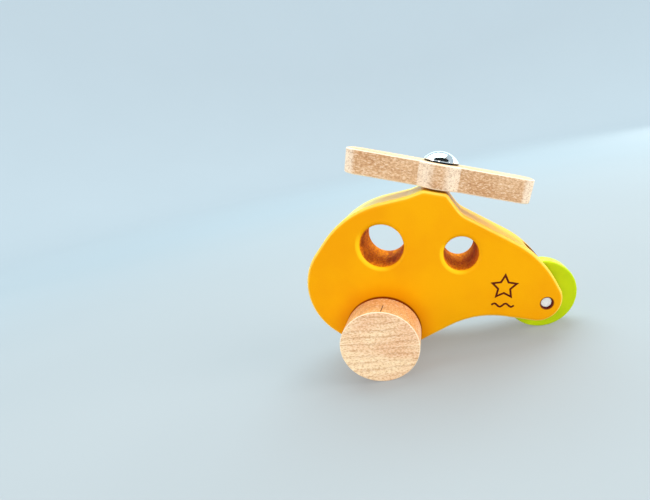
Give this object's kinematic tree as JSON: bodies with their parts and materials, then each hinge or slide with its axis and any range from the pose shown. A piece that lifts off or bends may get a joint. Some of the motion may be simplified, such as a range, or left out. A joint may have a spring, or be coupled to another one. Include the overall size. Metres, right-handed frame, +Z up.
{
  "type": "toy helicopter",
  "caption": "Wooden push-along toy helicopter: a slab body with round through windows, a spinning rotor under a domed cap, plain front wheels and a slotted tail wheel.",
  "frame": {"origin": "on the ground, under the middle of the whole toy's length, in the body's middle plane", "axes": "+X runs from the nose to the tail, +Z is up and +Y points to the toy's right-hand side"},
  "size_m": [0.1372, 0.0614, 0.111],
  "materials": {
    "orange_paint": "smooth satin water-based paint on wood",
    "rotor_wood": "sanded natural beech under clear matt lacquer",
    "wheel_wood": "sanded natural beech under clear matt lacquer, growth rings on the face",
    "green_paint": "smooth satin water-based lime green paint on wood",
    "chromed_steel": "bright chrome plate",
    "plain_steel": "bright drawn steel rod",
    "grey_nylon": "matt dark nylon"
  },
  "bodies": {
    "airframe": {"fuselage": "orange_paint", "rotor_pin": "plain_steel", "rotor_washer": "grey_nylon", "rotor_cap": "chromed_steel", "axle_spacer_left": "grey_nylon", "axle_spacer_right": "grey_nylon", "tail_pin": "plain_steel"},
    "spinning_rotor": {"rotor": "rotor_wood"},
    "front_wheelset": {"front_axle": "plain_steel", "front_wheel_left": "wheel_wood", "front_wheel_right": "wheel_wood"},
    "rear_wheel": {"tail_wheel": "green_paint"}
  },
  "joints": [
    {"name": "rotor_spin", "type": "hinge", "parent": "airframe", "child": "spinning_rotor", "pos_m": [0.0046, 0, 0.0842], "axis": [0.342, 0, 0.9397], "continuous": true},
    {"name": "front_wheels_spin", "type": "hinge", "parent": "airframe", "child": "front_wheelset", "pos_m": [-0.0354, 0, 0.0193], "axis": [0, 1, 0], "continuous": true},
    {"name": "tail_wheel_spin", "type": "hinge", "parent": "airframe", "child": "rear_wheel", "pos_m": [0.0494, 0, 0.0192], "axis": [0, 1, 0], "continuous": true}
  ]
}
